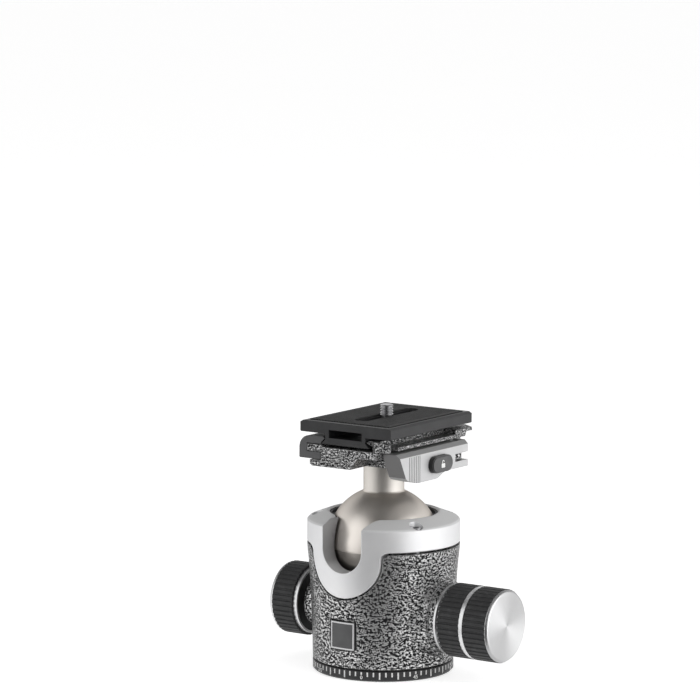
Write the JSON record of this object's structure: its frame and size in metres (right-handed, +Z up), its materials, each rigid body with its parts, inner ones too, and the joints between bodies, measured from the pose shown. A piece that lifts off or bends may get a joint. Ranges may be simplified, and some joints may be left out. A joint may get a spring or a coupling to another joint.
{
  "type": "tripod ball head",
  "caption": "Panning tripod ball head with a drop notch, friction and lock knobs, a lever-release dovetail clamp and a sliding plate.",
  "frame": {"origin": "centre of the base's underside, at the mouth of the tripod thread", "axes": "+Z up along the pan axis, +X out through the lock knob, -Y out through the drop notch"},
  "size_m": [0.1277, 0.0759, 0.1299],
  "materials": {
    "textured_paint": "black and grey hammer-texture paint",
    "satin_silver": "satin",
    "champagne": "fine satin, hard anodised",
    "black_anodised": "matt black anodised",
    "grip": "fine ribs",
    "bright_trim": "spun",
    "steel": "plain",
    "dark_steel": "blackened",
    "brass": "plain",
    "polymer": "matt",
    "white_polymer": "matt",
    "jaw_grey": "dark grey anodised",
    "lever_grey": "light grey satin",
    "button_grey": "dark grey satin",
    "pad": "matt"
  },
  "bodies": {
    "base": {"base_ring": "black_anodised", "pan_spindle": "satin_silver", "base_screws": "dark_steel", "pan_washer": "white_polymer", "retaining_ring": "brass"},
    "housing": {"housing": "textured_paint", "collar": "satin_silver", "collar_liner": "polymer", "collar_screws": "steel", "badge_plate": "jaw_grey", "lock_bush": "brass", "pan_bush": "brass", "boss_ring": "bright_trim", "cup_spring": "steel"},
    "pan_knob": {"pan_knob_grip": "grip", "pan_knob_ring": "bright_trim", "pan_knob_cap": "bright_trim", "pan_lock_screw": "steel"},
    "brake_shoe": {"pan_brake_shoe": "brass"},
    "lock_knob": {"lock_knob_grip": "grip", "lock_knob_cap": "bright_trim", "lock_spindle": "steel"},
    "friction_ring": {"friction_ring_grip": "grip", "friction_ring_hub": "bright_trim", "friction_ring_trim": "bright_trim"},
    "wedge": {"lock_wedge": "steel"},
    "cup": {"friction_cup": "polymer"},
    "ball": {"ball": "champagne"},
    "clamp": {"clamp_body": "textured_paint", "clamp_bolt": "dark_steel", "jaw_springs": "steel", "lever_pin": "steel"},
    "jaw": {"movable_jaw": "jaw_grey", "jaw_rods": "steel"},
    "lever": {"clamp_lever": "lever_grey", "button_spring": "steel"},
    "button": {"lock_button": "button_grey"},
    "plate": {"plate": "black_anodised", "plate_pad": "pad", "plate_stops": "steel"},
    "camera_screw": {"camera_screw": "steel"}
  },
  "joints": [
    {"name": "pan_turn", "type": "hinge", "parent": "base", "child": "housing", "pos_m": [0, 0, 0.01], "axis": [0, 0, 1], "continuous": true},
    {"name": "ball_tilt", "type": "hinge", "parent": "housing", "child": "ball", "pos_m": [0, 0, 0.0624], "axis": [1, 0, 0], "range_deg": [-35, 90]},
    {"name": "ball_spin", "type": "hinge", "parent": "ball", "child": "clamp", "pos_m": [0, 0, 0.1025], "axis": [0, 0, 1], "continuous": true},
    {"name": "lock_knob_turn", "type": "hinge", "parent": "housing", "child": "lock_knob", "pos_m": [0.064, 0, 0.0289], "axis": [1, 0, 0], "range_deg": [0, 360]},
    {"name": "friction_turn", "type": "hinge", "parent": "housing", "child": "friction_ring", "pos_m": [0.049, 0, 0.0289], "axis": [1, 0, 0], "range_deg": [-150, 150]},
    {"name": "wedge_slide", "type": "slide", "parent": "housing", "child": "wedge", "axis": [1, 0, 0], "range_m": [0, 0.001]},
    {"name": "cup_drop", "type": "slide", "parent": "housing", "child": "cup", "axis": [0, 0, -1], "range_m": [0, 0.00027]},
    {"name": "pan_knob_turn", "type": "hinge", "parent": "housing", "child": "pan_knob", "pos_m": [-0.048, 0, 0.0289], "axis": [-1, 0, 0], "range_deg": [0, 360]},
    {"name": "shoe_slide", "type": "slide", "parent": "housing", "child": "brake_shoe", "axis": [-1, 0, 0], "range_m": [0, 0.001]},
    {"name": "lever_swing", "type": "hinge", "parent": "clamp", "child": "lever", "pos_m": [0.0238, 0.0254, 0.104], "axis": [0, 0, 1], "range_deg": [0, 120]},
    {"name": "jaw_slide", "type": "slide", "parent": "clamp", "child": "jaw", "axis": [-1, 0, 0], "range_m": [0, 0.003], "deforming": ["jaw_springs"]},
    {"name": "button_press", "type": "slide", "parent": "lever", "child": "button", "axis": [-1, 0, 0], "range_m": [0, 0.0018], "stiffness_N_per_m": 400, "deforming": ["button_spring"]},
    {"name": "plate_slide", "type": "slide", "parent": "clamp", "child": "plate", "axis": [0, 1, 0], "range_m": [-0.008, 0.008]},
    {"name": "camera_screw_turn", "type": "hinge", "parent": "plate", "child": "camera_screw", "pos_m": [0, 0.00213, 0.122], "axis": [0, 0, 1], "continuous": true}
  ],
  "couplings": [
    {"joint": "wedge_slide", "follows": "lock_knob_turn", "m_per_rad": 0.00015914},
    {"joint": "cup_drop", "follows": "lock_knob_turn", "m_per_rad": 0.000042641},
    {"joint": "shoe_slide", "follows": "pan_knob_turn", "m_per_rad": 0.00015914},
    {"joint": "jaw_slide", "follows": "lever_swing", "m_per_rad": 0.0014323}
  ]
}
